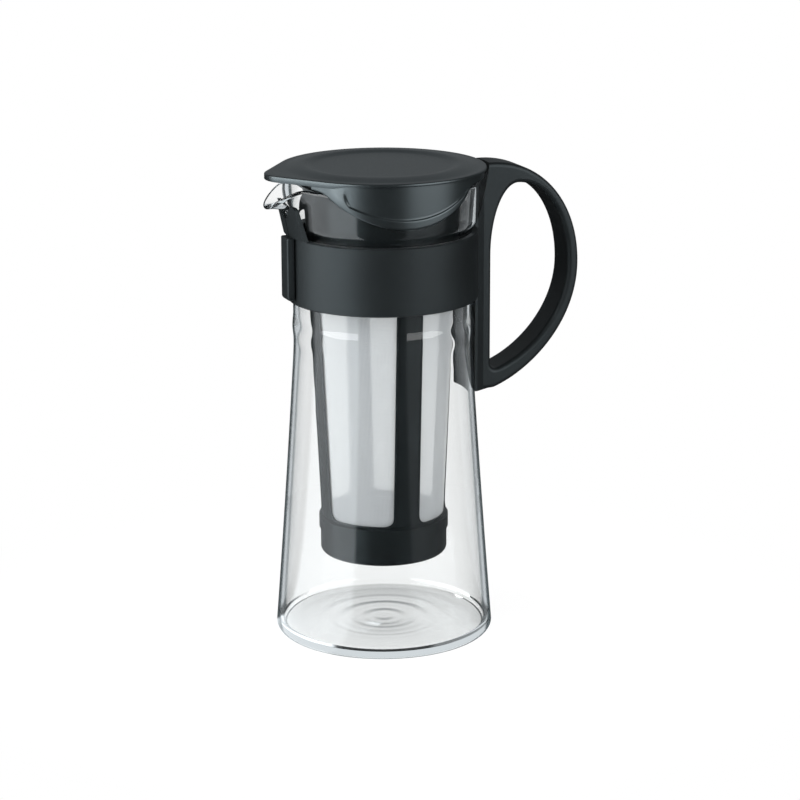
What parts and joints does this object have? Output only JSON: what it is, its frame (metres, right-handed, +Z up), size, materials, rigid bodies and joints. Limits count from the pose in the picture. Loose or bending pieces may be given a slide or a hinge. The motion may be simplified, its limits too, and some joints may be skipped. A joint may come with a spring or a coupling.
{
  "type": "cold brew coffee maker",
  "caption": "Glass jug with a clamped handle band, a beaked lift-off lid and a hanging mesh strainer basket for brewing coffee in cold water.",
  "frame": {"origin": "centre of the jug's round foot, on the plane that it stands on", "axes": "+Z up along the jug's axis, +X towards the handle, -X towards the pouring lip, Y across"},
  "size_m": [0.1357, 0.0904, 0.1967],
  "materials": {
    "jug_glass": "clear blown borosilicate glass",
    "band_plastic": "black moulded polypropylene, fine satin grain",
    "lid_plastic": "black moulded polypropylene, satin",
    "basket_plastic": "dark grey-green moulded polypropylene, satin",
    "mesh_cloth": "fine white polyester mesh"
  },
  "bodies": {
    "jug": {"glass_jug": "jug_glass", "handle_band": "band_plastic"},
    "clasp": {"band_clasp": "band_plastic"},
    "strainer": {"strainer_frame": "basket_plastic", "mesh_panel_1": "mesh_cloth", "mesh_panel_2": "mesh_cloth", "mesh_panel_3": "mesh_cloth", "mesh_panel_4": "mesh_cloth"},
    "cap": {"strainer_cap": "basket_plastic"},
    "lid": {"lid": "lid_plastic"}
  },
  "joints": [
    {"name": "clasp_slide", "type": "slide", "parent": "jug", "child": "clasp", "axis": [0, 0, -1], "range_m": [0, 0.028]},
    {"name": "strainer_lift", "type": "slide", "parent": "jug", "child": "strainer", "axis": [0, 0, 1], "range_m": [0, 0.165]},
    {"name": "lid_lift", "type": "slide", "parent": "strainer", "child": "lid", "axis": [0, 0, 1], "range_m": [0, 0.04]},
    {"name": "cap_pull", "type": "slide", "parent": "strainer", "child": "cap", "axis": [0, 0, -1], "range_m": [0, 0.016]}
  ]
}
